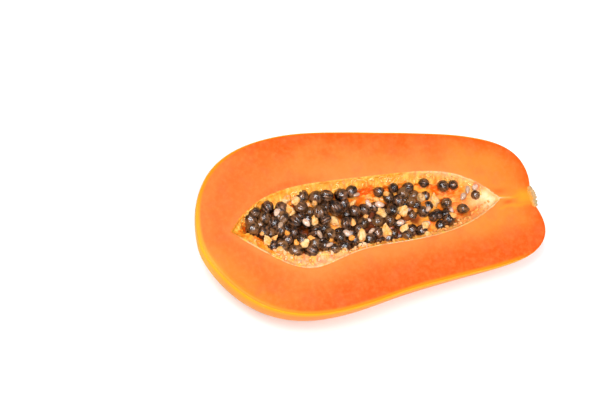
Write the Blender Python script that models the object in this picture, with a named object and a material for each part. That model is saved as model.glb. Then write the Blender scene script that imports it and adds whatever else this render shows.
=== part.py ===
"""Half a ripe papaya, cut lengthwise, with its seeds still in the cavity.

Units are metres, +Z is up. The fruit is modelled along its own X axis, blossom end at -X and
stem end at +X, and then rests on its belly with the stem end a little lower. The origin is at
the middle of the bounding box, on the surface that the fruit lies on.
"""

import math
import random

import bmesh
import bpy
from mathutils import Euler, Vector

MM = 0.001

# Whole fruit. "far" is its +Y side, "near" its -Y side; an axial position runs from -1 at the
# blossom end to +1 at the stem end.
FRUIT_LENGTH = 200 * MM
FRUIT_FAR_HALF_WIDTH = 53.1 * MM
FRUIT_NEAR_HALF_WIDTH = 47.7 * MM
FRUIT_TAPER = -0.326
FRUIT_FAR_SWELL = 0.018
FRUIT_NEAR_SWELL = 0.275
FRUIT_DEPTH = 46.5 * MM
FRUIT_DEPTH_TAPER = -0.27
FRUIT_DEPTH_SWELL = -0.02
BLOSSOM_END_BLUNTNESS = 2.35
STEM_END_BLUNTNESS = 4.45
BLOSSOM_FULLNESS = {"far": 2.45, "near": 1.32}
STEM_FULLNESS = {"far": 3.7, "near": 5.0}
LOBES = 5
LOBE_HEIGHT = 0.5 * MM
FRUIT_AROUND, FRUIT_ALONG = 52, 38
END_CROWDING = 0.3
SHARP_ANGLE = math.radians(40)

# The near shoulder reaches a little past the stem scar.
SHOULDER_REACH = 1.7 * MM
SHOULDER_SIDE_SHIFT = -25 * MM
SHOULDER_SPREAD = 13 * MM
SHOULDER_ONSET = 4

# The knife's plane: a little above the fruit's axis at the blossom end, through the stem scar.
CUT_HEIGHT_MIDDLE = 2.2 * MM
CUT_RISE_TO_STEM = -4.1 * MM

# Seed cavity, measured in the plane of the cut
CAVITY_MIDDLE = -1.5 * MM
CAVITY_HALF_LENGTH = 80 * MM
CAVITY_SIDE_SHIFT = 1.2 * MM
CAVITY_SIDE_SLANT = -3.4 * MM
CAVITY_FAR_HALF_WIDTH = 23.2 * MM
CAVITY_NEAR_HALF_WIDTH = 18.2 * MM
CAVITY_NEAR_BULGE = 10.3 * MM
CAVITY_BULGE_AT, CAVITY_BULGE_SPREAD = -0.54, 0.32
CAVITY_DEPTH = 23 * MM
CAVITY_SHALLOWING = -0.18
CAVITY_FAR_BLUNTNESS = {"blossom": 4.2, "stem": 4.6}
CAVITY_NEAR_BLUNTNESS = {"blossom": 3.9, "stem": 3.2}
CAVITY_AROUND, CAVITY_ALONG = 34, 26

# Layers inside the cavity
FIT_GAP = 0.3 * MM
LINING_THICKNESS = 1.5 * MM
END_STRETCH = 3.0

# Seeds: their size, how they are spread, and how far the heap's top lies under the cut
SEED_SIZE = 6.6 * MM
SEED_PITCH = 6.2 * MM
SEED_ROW_STEP = 0.87
SEED_STRAY = 0.18
SEED_LIFT = 0.22
HEAP_BELOW_CUT = 4.2 * MM
HEAP_CROWN = 2.2 * MM
HEAP_STEM_LIMIT = 40 * MM
HEAP_STEM_FALL = 1.1
HEAP_GRID_STEP = 1.8 * MM
HEAP_COVER_WIDTH = 2.6 * CAVITY_FAR_HALF_WIDTH

# Stem scar: what is left of the stalk, halved by the same cut
SCAR_SIDE_SHIFT = -4.5 * MM
SCAR_RADIUS = 7.5 * MM
SCAR_HALF_THICKNESS = 3.2 * MM
SCAR_RIDGES = 9
SCAR_RIDGE_HEIGHT = 0.4 * MM
SCAR_AROUND, SCAR_ALONG = 36, 10
DIMPLE_DEPTH = 2.4 * MM
DIMPLE_RADIUS = 9 * MM

# How the half lies
REST_TILT = math.radians(6)
FLAT_SPOT_DEPTH = 0.6 * MM

CUTTER_SIZE = 400 * MM

MATERIALS = {
    "flesh": ("ripe papaya flesh", (1.0, 0.22, 0.045), 0.42),
    "lining": ("cavity lining", (0.94, 0.56, 0.17), 0.45),
    "seed_heap": ("wet papaya seeds", (0.022, 0.014, 0.008), 0.18),
    "stem_scar": ("dry stem scar", (0.62, 0.40, 0.18), 0.75),
}


def clear_scene():
    for old in list(bpy.data.objects):
        bpy.data.objects.remove(old, do_unlink=True)


def new_collection(name):
    made = bpy.data.collections.new(name)
    bpy.context.scene.collection.children.link(made)
    return made


def new_material(name, colour, roughness):
    made = bpy.data.materials.new(name)
    made.use_nodes = True
    shader = made.node_tree.nodes["Principled BSDF"]
    shader.inputs["Base Color"].default_value = (*colour, 1)
    shader.inputs["Roughness"].default_value = roughness
    shader.inputs["Metallic"].default_value = 0
    return made


def power(value, exponent):
    """The value's size raised to the exponent, with its sign kept."""
    return math.copysign(abs(value) ** exponent, value)


def mix(near, far, share):
    return near + (far - near) * share


def bell(distance, spread):
    return math.exp(-((distance / spread) ** 2))


def cut_height(x):
    """Height of the cut above the fruit's axis."""
    return CUT_HEIGHT_MIDDLE + CUT_RISE_TO_STEM * x / (FRUIT_LENGTH / 2)


def fruit_point(station, around):
    """A point of the skin. station runs from 0 at the blossom end to pi at the stem end, and
    around is 0 on the far side, pi / 2 at the belly and pi on the near side."""
    station -= END_CROWDING * math.sin(2 * station)
    along, outward = -math.cos(station), abs(math.sin(station))
    far_share = (1 + math.cos(around)) / 2
    fullness = BLOSSOM_FULLNESS if along < 0 else STEM_FULLNESS
    bluntness = BLOSSOM_END_BLUNTNESS if along < 0 else STEM_END_BLUNTNESS
    axial = power(along, 2 / bluntness)
    radial = outward ** (2 / mix(fullness["near"], fullness["far"], far_share))
    taper = 1 + FRUIT_TAPER * axial
    far = FRUIT_FAR_HALF_WIDTH * (taper + FRUIT_FAR_SWELL * axial**2)
    near = FRUIT_NEAR_HALF_WIDTH * (taper + FRUIT_NEAR_SWELL * axial**2)
    depth = FRUIT_DEPTH * (1 + FRUIT_DEPTH_TAPER * axial + FRUIT_DEPTH_SWELL * axial**2)
    lobe = LOBE_HEIGHT * math.sin(LOBES * around) * outward**2
    side = far if math.cos(around) > 0 else near
    y = (side * radial + lobe) * math.cos(around)
    z = -(depth * radial + lobe) * math.sin(around)
    x = axial * FRUIT_LENGTH / 2
    if along > 0:
        x -= DIMPLE_DEPTH * bell(math.hypot(y - SCAR_SIDE_SHIFT, z), DIMPLE_RADIUS)
        shoulder = bell(y - SHOULDER_SIDE_SHIFT, SHOULDER_SPREAD)
        x += SHOULDER_REACH * shoulder * axial**SHOULDER_ONSET
    return Vector((x, y, z))


def cavity_point(station, around, inset=0.0):
    """A point of the cavity's wall, drawn in by inset. The cavity's middle line lies in the cut."""
    along, outward = -math.cos(station), abs(math.sin(station))
    # a quarter of a step round, so that none of the points lies in the knife's plane
    around += math.pi / 2 / CAVITY_AROUND
    far_share = (1 + math.cos(around)) / 2
    end = "blossom" if along < 0 else "stem"
    bluntness = mix(CAVITY_NEAR_BLUNTNESS[end], CAVITY_FAR_BLUNTNESS[end], far_share)
    axial = power(along, 2 / bluntness)
    radial = outward**2
    bulge = CAVITY_NEAR_BULGE * bell(axial - CAVITY_BULGE_AT, CAVITY_BULGE_SPREAD)
    if math.cos(around) > 0:
        side = CAVITY_FAR_HALF_WIDTH
    else:
        side = CAVITY_NEAR_HALF_WIDTH + bulge
    depth = CAVITY_DEPTH * (1 + CAVITY_SHALLOWING * axial)
    x = CAVITY_MIDDLE + axial * (CAVITY_HALF_LENGTH - END_STRETCH * inset)
    middle = CAVITY_SIDE_SHIFT + CAVITY_SIDE_SLANT * axial
    y = middle + (side - inset) * radial * math.cos(around)
    z = cut_height(x) - (depth - inset) * radial * math.sin(around)
    return Vector((x, y, z))


def face_outwards(form):
    bmesh.ops.recalc_face_normals(form, faces=form.faces)
    if form.calc_volume(signed=True) < 0:
        bmesh.ops.reverse_faces(form, faces=form.faces)


def closed_form(name, point_at, around, along):
    """A UV sphere with its poles along X, each vertex moved to where point_at puts it."""
    mesh = bpy.data.meshes.new(name)
    form = bmesh.new()
    bmesh.ops.create_uvsphere(form, u_segments=around, v_segments=along, radius=1)
    for vertex in form.verts:
        station = math.acos(max(-1.0, min(1.0, -vertex.co.z)))
        vertex.co = point_at(station, math.atan2(-vertex.co.y, vertex.co.x))
    face_outwards(form)
    form.to_mesh(mesh)
    form.free()
    mesh.shade_smooth()
    mesh.set_sharp_from_angle(angle=SHARP_ANGLE)
    return bpy.data.objects.new(name, mesh)


def box(name, size):
    mesh = bpy.data.meshes.new(name)
    form = bmesh.new()
    bmesh.ops.create_cube(form, size=size)
    form.to_mesh(mesh)
    form.free()
    return bpy.data.objects.new(name, mesh)


def put(obj, collection, parent):
    collection.objects.link(obj)
    obj.parent = parent
    return obj


def put_cutter(obj, collection, parent):
    obj.hide_render = True
    obj.display_type = "WIRE"
    return put(obj, collection, parent)


def put_part(obj, collection, parent):
    obj.data.materials.append(new_material(*MATERIALS[obj.name]))
    return put(obj, collection, parent)


def cut_away(obj, cutter):
    cut = obj.modifiers.new(f"less {cutter.name}", "BOOLEAN")
    cut.operation = "DIFFERENCE"
    cut.object = cutter
    cut.solver = "EXACT"


def knife_block():
    """Everything above the cut: a block whose underside is the knife's plane."""
    block = box("knife_block", CUTTER_SIZE)
    slope = math.atan2(CUT_RISE_TO_STEM, FRUIT_LENGTH / 2)
    block.rotation_euler = Euler((0, -slope, 0))
    middle = Vector((0, 0, CUTTER_SIZE / 2))
    middle.rotate(block.rotation_euler)
    block.location = Vector((0, 0, CUT_HEIGHT_MIDDLE)) + middle
    return block


def level_block(fruit):
    """What the flat spot takes off the belly: a block that is level once the fruit lies down."""
    lying = Euler((0, REST_TILT, 0)).to_matrix()
    lowest = min((lying @ vertex.co).z for vertex in fruit.data.vertices)
    block = box("level_block", CUTTER_SIZE)
    block.rotation_euler = Euler((0, -REST_TILT, 0))
    middle = Vector((0, 0, lowest + FLAT_SPOT_DEPTH - CUTTER_SIZE / 2))
    block.location = lying.inverted() @ middle
    return block


def seed_centres():
    """Places of the top layer's seeds, in uneven staggered rows."""
    shake = random.Random(5)
    rows = math.ceil(2 * CAVITY_FAR_HALF_WIDTH / SEED_PITCH)
    columns = math.ceil(2 * CAVITY_HALF_LENGTH / SEED_PITCH)
    for row in range(-rows, rows + 1):
        for column in range(-columns, columns + 1):
            stagger = 0.5 * (row % 2)
            x = SEED_PITCH * (column + stagger + shake.uniform(-SEED_STRAY, SEED_STRAY))
            y = SEED_PITCH * (SEED_ROW_STEP * row + shake.uniform(-SEED_STRAY, SEED_STRAY))
            yield x, y, shake.uniform(-SEED_LIFT, SEED_LIFT) * SEED_SIZE


def heap_top(x, y, centres):
    """Height of the heap's uneven top, a dome for each seed of the top layer."""
    across = (y - CAVITY_SIDE_SHIFT) / CAVITY_FAR_HALF_WIDTH
    level = cut_height(x) - HEAP_BELOW_CUT + HEAP_CROWN * max(0.0, 1 - across**2)
    level -= HEAP_STEM_FALL * max(0.0, x - HEAP_STEM_LIMIT)
    radius = SEED_SIZE / 2
    dome = 0.0
    for seed_x, seed_y, lift in centres:
        reach = radius**2 - (x - seed_x) ** 2 - (y - seed_y) ** 2
        if reach > 0:
            dome = max(dome, math.sqrt(reach) + lift)
    return level - radius + dome


def heap_cover():
    """A block above the heap, whose underside has the heap's uneven outline."""
    length, width = 2 * CAVITY_HALF_LENGTH, HEAP_COVER_WIDTH
    steps_long, steps_wide = round(length / HEAP_GRID_STEP), round(width / HEAP_GRID_STEP)
    bpy.ops.mesh.primitive_grid_add(x_subdivisions=steps_long, y_subdivisions=steps_wide, size=1)
    cover = bpy.context.object
    cover.name = cover.data.name = "heap_cover"
    centres = list(seed_centres())
    form = bmesh.new()
    form.from_mesh(cover.data)
    for vertex in form.verts:
        x = CAVITY_MIDDLE + vertex.co.x * length
        y = vertex.co.y * width
        nearby = [seed for seed in centres if abs(seed[0] - x) < SEED_SIZE > abs(seed[1] - y)]
        vertex.co = (x, y, heap_top(x, y, nearby))
    lid = bmesh.ops.extrude_face_region(form, geom=list(form.faces))["geom"]
    for vertex in (item for item in lid if isinstance(item, bmesh.types.BMVert)):
        vertex.co.z = CAVITY_DEPTH * 2
    face_outwards(form)
    form.to_mesh(cover.data)
    form.free()
    for home in list(cover.users_collection):
        home.objects.unlink(cover)
    return cover


def scar_form(name, gap, ridge_height):
    """The stalk's woody base: a flattened ball with ridges that run out from its middle."""

    def point_at(station, around):
        along, outward = -math.cos(station), math.sin(station)
        ridge = ridge_height * math.cos(SCAR_RIDGES * around) * outward
        radius = (SCAR_RADIUS + gap + ridge) * outward
        x = FRUIT_LENGTH / 2 - DIMPLE_DEPTH + (SCAR_HALF_THICKNESS + gap) * along
        y = SCAR_SIDE_SHIFT + radius * math.cos(around)
        return Vector((x, y, cut_height(x) - radius * math.sin(around)))

    return closed_form(name, point_at, SCAR_AROUND, SCAR_ALONG)


def stand_on_origin(root, parts):
    """Moves the fruit so that its bounding box stands on the origin."""
    bpy.context.view_layer.update()
    graph = bpy.context.evaluated_depsgraph_get()
    corners = []
    for part in parts:
        evaluated = part.evaluated_get(graph)
        corners += [evaluated.matrix_world @ vertex.co for vertex in evaluated.data.vertices]
    low = Vector(min(corner[axis] for corner in corners) for axis in range(3))
    high = Vector(max(corner[axis] for corner in corners) for axis in range(3))
    root.location = (-(low.x + high.x) / 2, -(low.y + high.y) / 2, -low.z)


def main():
    clear_scene()
    parts_home = new_collection("papaya_half")
    cutters_home = new_collection("cutters")
    root = bpy.data.objects.new("lying_fruit", None)
    parts_home.objects.link(root)
    root.rotation_euler = Euler((0, REST_TILT, 0))

    flesh = put_part(
        closed_form("flesh", fruit_point, FRUIT_AROUND, FRUIT_ALONG), parts_home, root
    )
    lining = put_part(
        closed_form(
            "lining", lambda s, a: cavity_point(s, a, FIT_GAP), CAVITY_AROUND, CAVITY_ALONG
        ),
        parts_home,
        root,
    )
    heap_inset = 2 * FIT_GAP + LINING_THICKNESS
    seed_heap = put_part(
        closed_form(
            "seed_heap", lambda s, a: cavity_point(s, a, heap_inset), CAVITY_AROUND, CAVITY_ALONG
        ),
        parts_home,
        root,
    )
    stem_scar = put_part(scar_form("stem_scar", 0, SCAR_RIDGE_HEIGHT), parts_home, root)

    knife = put_cutter(knife_block(), cutters_home, root)
    belly = put_cutter(level_block(flesh), cutters_home, root)
    cavity = put_cutter(
        closed_form("cavity", cavity_point, CAVITY_AROUND, CAVITY_ALONG), cutters_home, root
    )
    hollow = put_cutter(
        closed_form(
            "hollow",
            lambda s, a: cavity_point(s, a, FIT_GAP + LINING_THICKNESS),
            CAVITY_AROUND,
            CAVITY_ALONG,
        ),
        cutters_home,
        root,
    )
    seat_gap = FIT_GAP + SCAR_RIDGE_HEIGHT
    scar_seat = put_cutter(scar_form("scar_seat", seat_gap, 0), cutters_home, root)
    cover = put_cutter(heap_cover(), cutters_home, root)

    for part, cutters in (
        (flesh, (cavity, scar_seat, belly, knife)),
        (lining, (hollow, knife)),
        (seed_heap, (cover,)),
        (stem_scar, (knife,)),
    ):
        for cutter in cutters:
            cut_away(part, cutter)
    stand_on_origin(root, (flesh, lining, seed_heap, stem_scar))


main()
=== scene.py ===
import math
import random

import bpy
import numpy as np
from mathutils import Matrix, Quaternion, Vector, kdtree, noise


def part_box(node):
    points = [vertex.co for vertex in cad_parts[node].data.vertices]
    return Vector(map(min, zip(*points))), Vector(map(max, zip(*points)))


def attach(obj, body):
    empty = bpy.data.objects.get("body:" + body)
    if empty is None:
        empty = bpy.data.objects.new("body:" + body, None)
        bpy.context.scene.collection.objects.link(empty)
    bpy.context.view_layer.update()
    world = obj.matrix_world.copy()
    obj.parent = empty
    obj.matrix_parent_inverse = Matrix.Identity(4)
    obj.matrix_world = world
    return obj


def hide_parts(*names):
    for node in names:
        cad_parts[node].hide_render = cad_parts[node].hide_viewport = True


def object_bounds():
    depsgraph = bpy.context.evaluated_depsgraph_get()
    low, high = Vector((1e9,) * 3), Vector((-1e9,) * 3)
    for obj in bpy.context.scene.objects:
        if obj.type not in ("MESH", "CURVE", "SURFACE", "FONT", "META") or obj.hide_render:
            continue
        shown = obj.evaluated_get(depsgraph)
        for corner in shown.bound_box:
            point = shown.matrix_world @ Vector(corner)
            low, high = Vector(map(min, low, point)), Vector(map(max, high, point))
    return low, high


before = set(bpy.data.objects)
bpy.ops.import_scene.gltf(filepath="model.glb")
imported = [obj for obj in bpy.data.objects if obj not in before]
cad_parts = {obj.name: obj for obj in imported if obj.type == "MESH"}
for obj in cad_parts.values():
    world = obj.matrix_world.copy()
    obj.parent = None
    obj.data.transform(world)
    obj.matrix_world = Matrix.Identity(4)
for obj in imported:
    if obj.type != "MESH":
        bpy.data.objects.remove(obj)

mm = 0.001
cadLow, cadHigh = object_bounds()

# The cut frame: u along the fruit towards the stem end, v across it, w up out of the cut.
# All of these lengths are millimetres, turned to metres in toWorld.

fruit = {
    "length": 200,
    "farHalfWidth": 53.1,
    "nearHalfWidth": 47.7,
    "taper": -0.326,
    "farSwell": 0.018,
    "nearSwell": 0.275,
    "depth": 46.5,
    "depthTaper": -0.27,
    "depthSwell": -0.02,
    "blossomBluntness": 2.35,
    "stemBluntness": 4.45,
    "blossomFullness": (1.32, 2.45),  # near side, far side
    "stemFullness": (5.0, 3.7),
    "lobes": 5,
    "lobeHeight": 0.5,
    "dimpleDepth": 2.4,
    "dimpleRadius": 9,
    "dimpleAt": -4.5,
    "shoulderReach": 1.7,  # of the near side past the stem end
    "shoulderAt": -25,
    "shoulderSpread": 13,
    "shoulderOnset": 4,
    "cutHeight": 2.2,  # of the cut above the fruit's axis, at its middle
    "cutRise": -4.1,
    "restTilt": 6,  # degrees, stem end down
    "stretch": (105, 56, 52),  # of the fan of rays that finds the skin
}

cavity = {
    "middle": -1.5,
    "halfLength": 80,
    "sideShift": 1.2,
    "sideSlant": -3.4,
    "farHalfWidth": 23.2,
    "nearHalfWidth": 18.2,
    "nearBulge": 10.3,
    "bulgeAt": -0.54,
    "bulgeSpread": 0.32,
    "depth": 23,
    "shallowing": -0.18,
    "blossomBluntness": (3.9, 4.2),  # near side, far side
    "stemBluntness": (3.2, 4.6),
    "endStretch": 3.0,
    "stretch": (85, 26, 26),  # of the fan of rays that finds the wall
}

rays = {"farthest": 1.6, "halvings": 34}  # in lengths of the ray, and how finely it is cut

cutSlope = math.atan2(fruit["cutRise"], fruit["length"] / 2)
layingDown = Matrix.Rotation(math.radians(fruit["restTilt"]) - cutSlope, 3, "Y")
heart = np.array((-8.0, 0.0, 0.0))  # the rays that find every surface start here


def bell(distance, spread):
    return np.exp(-((distance / spread) ** 2))


def smooth(low, high, value):
    share = np.clip((value - low) / (high - low), 0, 1)
    return share * share * (3 - 2 * share)


def mix(a, b, share):
    return a + (b - a) * share


def skinGap(points):
    # below 0 inside the fruit, above 0 outside
    u, v, w = points[..., 0], points[..., 1], points[..., 2]
    x = u * math.cos(cutSlope) - w * math.sin(cutSlope)
    z = fruit["cutHeight"] + u * math.sin(cutSlope) + w * math.cos(cutSlope)
    dimple = fruit["dimpleDepth"] * bell(np.hypot(v - fruit["dimpleAt"], z), fruit["dimpleRadius"])
    half = fruit["length"] / 2
    shoulder = fruit["shoulderReach"] * bell(v - fruit["shoulderAt"], fruit["shoulderSpread"])
    shoulder = shoulder * np.clip(x / half, 0, 1) ** fruit["shoulderOnset"]
    axial = np.clip((x + np.where(x > 0, dimple, 0) - shoulder) / half, -1, 1)
    blossom = axial < 0
    bluntness = np.where(blossom, fruit["blossomBluntness"], fruit["stemBluntness"])
    outward = np.sqrt(np.clip(1 - np.abs(axial) ** bluntness, 0, 1))
    taper = 1 + fruit["taper"] * axial
    far = fruit["farHalfWidth"] * (taper + fruit["farSwell"] * axial**2)
    near = fruit["nearHalfWidth"] * (taper + fruit["nearSwell"] * axial**2)
    depth = fruit["depth"] * (1 + fruit["depthTaper"] * axial + fruit["depthSwell"] * axial**2)
    side = np.where(v > 0, far, near)
    reach = np.hypot(v / side, z / depth)
    farShare = (1 + v / side / np.maximum(reach, 1e-9)) / 2
    fullness = np.where(
        blossom, mix(*fruit["blossomFullness"], farShare), mix(*fruit["stemFullness"], farShare)
    )
    around = np.arctan2(-z / depth, v / side)
    lobe = fruit["lobeHeight"] * np.sin(fruit["lobes"] * around) * outward**2
    return reach - outward ** (2 / fullness) - lobe / side


def cavityReach(points, inset):
    # how far out a point is across the cavity, the wall's reach there, and the middle line
    u, v, w = points[..., 0], points[..., 1], points[..., 2]
    half = cavity["halfLength"] - cavity["endStretch"] * inset
    axial = np.clip((u - cavity["middle"]) / half, -1, 1)
    middle = cavity["sideShift"] + cavity["sideSlant"] * axial
    bulge = cavity["nearBulge"] * bell(axial - cavity["bulgeAt"], cavity["bulgeSpread"])
    side = np.where(v > middle, cavity["farHalfWidth"], cavity["nearHalfWidth"] + bulge) - inset
    depth = cavity["depth"] * (1 + cavity["shallowing"] * axial) - inset
    reach = np.hypot((v - middle) / side, w / depth)
    farShare = (1 + (v - middle) / side / np.maximum(reach, 1e-9)) / 2
    blossom, stem = cavity["blossomBluntness"], cavity["stemBluntness"]
    bluntness = np.where(axial < 0, mix(*blossom, farShare), mix(*stem, farShare))
    wall = 1 - np.abs(axial) ** bluntness
    return reach, wall, middle


def cavityGap(points, inset=0.0):
    reach, wall, middle = cavityReach(points, inset)
    return reach - wall


def castRays(directions, gap, start=heart):
    # the point on each ray where the gap turns from inside to outside
    low = np.zeros(directions.shape[:-1])
    high = np.full(directions.shape[:-1], rays["farthest"])
    for halving in range(rays["halvings"]):
        half = (low + high) / 2
        inside = gap(start + directions * half[..., None]) < 0
        low, high = np.where(inside, half, low), np.where(inside, high, half)
    return start + directions * low[..., None]


def fan(count, depths, stretch):
    # directions all round the cut, tipped down by each of the depths (0 level, 1 straight down)
    around = np.arange(count) * 2 * math.pi / count
    down = np.asarray(depths)[:, None] * math.pi / 2
    level, drop = np.cos(down), -np.sin(down) + 0 * around
    return np.stack((np.cos(around) * level, np.sin(around) * level, drop), -1) * stretch


def softNoise(points, size, seed=0):
    # smooth noise from about -1 to 1, whose bumps are about size millimetres wide
    flat = points.reshape(-1, 3) / size
    shift = Vector((seed * 7.31, seed * 3.17, seed * 5.73))
    values = [noise.noise(Vector(point) + shift) for point in flat.tolist()]
    return np.array(values).reshape(points.shape[:-1])


def toWorld(points):
    turned = points.reshape(-1, 3) @ np.array(layingDown).T
    return turned * mm + placing


def ringMesh(name, rings, marks, secondSlotFrom=None):
    # a closed mesh from rings of points, with its first and last ring closed to a point
    count, around = rings.shape[:2]
    ends = (rings[0].mean(0)[None], rings[-1].mean(0)[None])
    points = np.concatenate((rings.reshape(-1, 3), *ends))
    firstEnd, lastEnd = count * around, count * around + 1
    here = np.arange(count * around).reshape(count, around)
    after = np.roll(here, -1, 1)
    quads = np.stack((here[:-1], after[:-1], after[1:], here[1:]), -1).reshape(-1, 4)
    faces = quads.tolist()
    faces += [(firstEnd, b, a) for a, b in zip(here[0].tolist(), after[0].tolist())]
    faces += [(lastEnd, a, b) for a, b in zip(here[-1].tolist(), after[-1].tolist())]
    mesh = bpy.data.meshes.new(name)
    mesh.from_pydata(toWorld(points).tolist(), [], faces)
    for mark, values in marks.items():
        ends = (values[0].mean(), values[-1].mean())
        layer = mesh.attributes.new(mark, "FLOAT", "POINT")
        layer.data.foreach_set("value", np.append(values.reshape(-1), ends).astype(np.float32))
    if secondSlotFrom is not None:
        slots = np.zeros(len(faces), np.int32)
        slots[secondSlotFrom * around : len(quads)] = 1
        slots[len(quads) + around :] = 1
        mesh.polygons.foreach_set("material_index", slots)
    return addPiece(name, mesh)


def addPiece(name, mesh):
    mesh.validate()
    mesh.update()
    mesh.shade_smooth()
    piece = bpy.data.objects.new(name, mesh)
    bpy.context.scene.collection.objects.link(piece)
    faceOutwards(piece)
    return piece


def faceOutwards(piece):
    mesh = piece.data
    mesh.calc_loop_triangles()
    corners = np.array([mesh.vertices[i].co for t in mesh.loop_triangles[:] for i in t.vertices])
    a, b, c = corners.reshape(-1, 3, 3).transpose(1, 0, 2)
    if np.einsum("ij,ij->i", a, np.cross(b, c)).sum() < 0:
        mesh.flip_normals()


def joinedMesh(name, shapes, marks=None):
    # many small closed shapes as one mesh; each shape is (points, faces, {mark: values})
    points, faces, values = [], [], {mark: [] for mark in marks or ()}
    start = 0
    for shapePoints, shapeFaces, shapeMarks in shapes:
        points.append(shapePoints)
        faces.append(shapeFaces + start)
        start += len(shapePoints)
        for mark in values:
            values[mark].append(np.broadcast_to(shapeMarks[mark], len(shapePoints)))
    mesh = bpy.data.meshes.new(name)
    allFaces = np.concatenate(faces)
    mesh.from_pydata(toWorld(np.concatenate(points)).tolist(), [], allFaces.tolist())
    for mark, parts in values.items():
        layer = mesh.attributes.new(mark, "FLOAT", "POINT")
        layer.data.foreach_set("value", np.concatenate(parts).astype(np.float32))
    return addPiece(name, mesh)


def sideFaces(here):
    # two triangles for each square between rings of point numbers
    after = np.roll(here, -1, 1)
    a, b, c, d = here[:-1].ravel(), after[:-1].ravel(), after[1:].ravel(), here[1:].ravel()
    return [np.stack((a, d, c), -1), np.stack((a, c, b), -1)]


def endFaces(tip, ring):
    # a fan of triangles from one point to a closed ring
    return np.stack((np.full(len(ring), tip), ring, np.roll(ring, -1)), -1)


def ballGrid(around, along):
    # unit ball with its poles along z, as points and triangles
    tip = np.linspace(0, math.pi, along + 1)[1:-1]
    turn = np.arange(around) * 2 * math.pi / around
    level, height = np.sin(tip)[:, None], np.cos(tip)[:, None] + 0 * turn
    ring = np.stack((level * np.cos(turn), level * np.sin(turn), height), -1)
    points = np.concatenate((ring.reshape(-1, 3), [(0, 0, 1)], [(0, 0, -1)]))
    here = np.arange((along - 1) * around).reshape(along - 1, around)
    top, bottom = len(points) - 2, len(points) - 1
    ends = [endFaces(top, here[0]), endFaces(bottom, here[-1])[:, [0, 2, 1]]]
    return points, np.concatenate(sideFaces(here) + ends)


def edgeDistance(points, loop):
    # true distance of each point from a closed loop of points
    tree = kdtree.KDTree(len(loop))
    for index, point in enumerate(loop.tolist()):
        tree.insert(point, index)
    tree.balance()
    flat = points.reshape(-1, 3).tolist()
    return np.array([tree.find(point)[2] for point in flat]).reshape(points.shape[:-1])


def linear(code):
    # an sRGB hex colour as linear light, with full alpha
    channels = [int(code[i : i + 2], 16) / 255 for i in (1, 3, 5)]
    turned = [c / 12.92 if c <= 0.04045 else ((c + 0.055) / 1.055) ** 2.4 for c in channels]
    return (*turned, 1.0)


def newMaterial(name):
    material = bpy.data.materials.new(name)
    material.use_nodes = True
    material.node_tree.nodes.clear()
    return material, material.node_tree


def addNode(tree, kind, settings=None, links=None):
    # settings go to the node's own properties or, by name or number, to its sockets
    node = tree.nodes.new("ShaderNode" + kind)
    for key, value in (settings or {}).items():
        if isinstance(key, str) and hasattr(node, key):
            setattr(node, key, value)
        else:
            node.inputs[key].default_value = value
    for key, source in (links or {}).items():
        tree.links.new(source, node.inputs[key])
    return node


def setRamp(node, stops):
    ramp = node.color_ramp
    while len(ramp.elements) < len(stops):
        ramp.elements.new(0.5)
    for element, (position, colour) in zip(ramp.elements, stops):
        element.position = position
        element.color = linear(colour)
    return node.outputs["Color"]


def blendColour(tree, share, first, second):
    # mix of two colours, each a hex value or another node's output
    node = addNode(tree, "Mix", {"data_type": "RGBA"})
    tree.links.new(share, node.inputs["Factor"])
    for socket, colour in ((node.inputs[6], first), (node.inputs[7], second)):
        if isinstance(colour, str):
            socket.default_value = linear(colour)
        else:
            tree.links.new(colour, socket)
    return node.outputs[2]


def mark(tree, name):
    return addNode(tree, "Attribute", {"attribute_name": name}).outputs["Fac"]


def tinted(tree, colour, tints):
    # each (mark, tint) is laid over the colour where the mesh's mark is high
    for name, tint in tints:
        colour = blendColour(tree, mark(tree, name), colour, tint)
    return colour


def noiseOf(tree, millimetres, detail=2.0, roughness=0.5):
    # noise in real size: object coordinates are metres
    place = addNode(tree, "TexCoord").outputs["Object"]
    settings = {"Scale": 1000 / millimetres, "Detail": detail, "Roughness": roughness}
    return addNode(tree, "TexNoise", settings, {"Vector": place}).outputs["Fac"]


def scaled(tree, value, low, high, toLow=0.0, toHigh=1.0):
    node = addNode(
        tree, "MapRange", {"From Min": low, "From Max": high, "To Min": toLow, "To Max": toHigh}
    )
    tree.links.new(value, node.inputs["Value"])
    return node.outputs["Result"]


def bumpOf(tree, height, strength, distance):
    node = addNode(tree, "Bump", {"Strength": strength, "Distance": distance}, {"Height": height})
    return node.outputs["Normal"]


def glowing(weight, radius):
    # light that passes some millimetres into the flesh, reddest deepest; radius in metres
    return {"Subsurface Weight": weight, "Subsurface Radius": radius, "Subsurface Scale": 1.0}


def finishMaterial(tree, settings, links):
    shader = addNode(tree, "BsdfPrincipled", settings, links)
    addNode(tree, "OutputMaterial", None, {"Surface": shader.outputs["BSDF"]})


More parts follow.
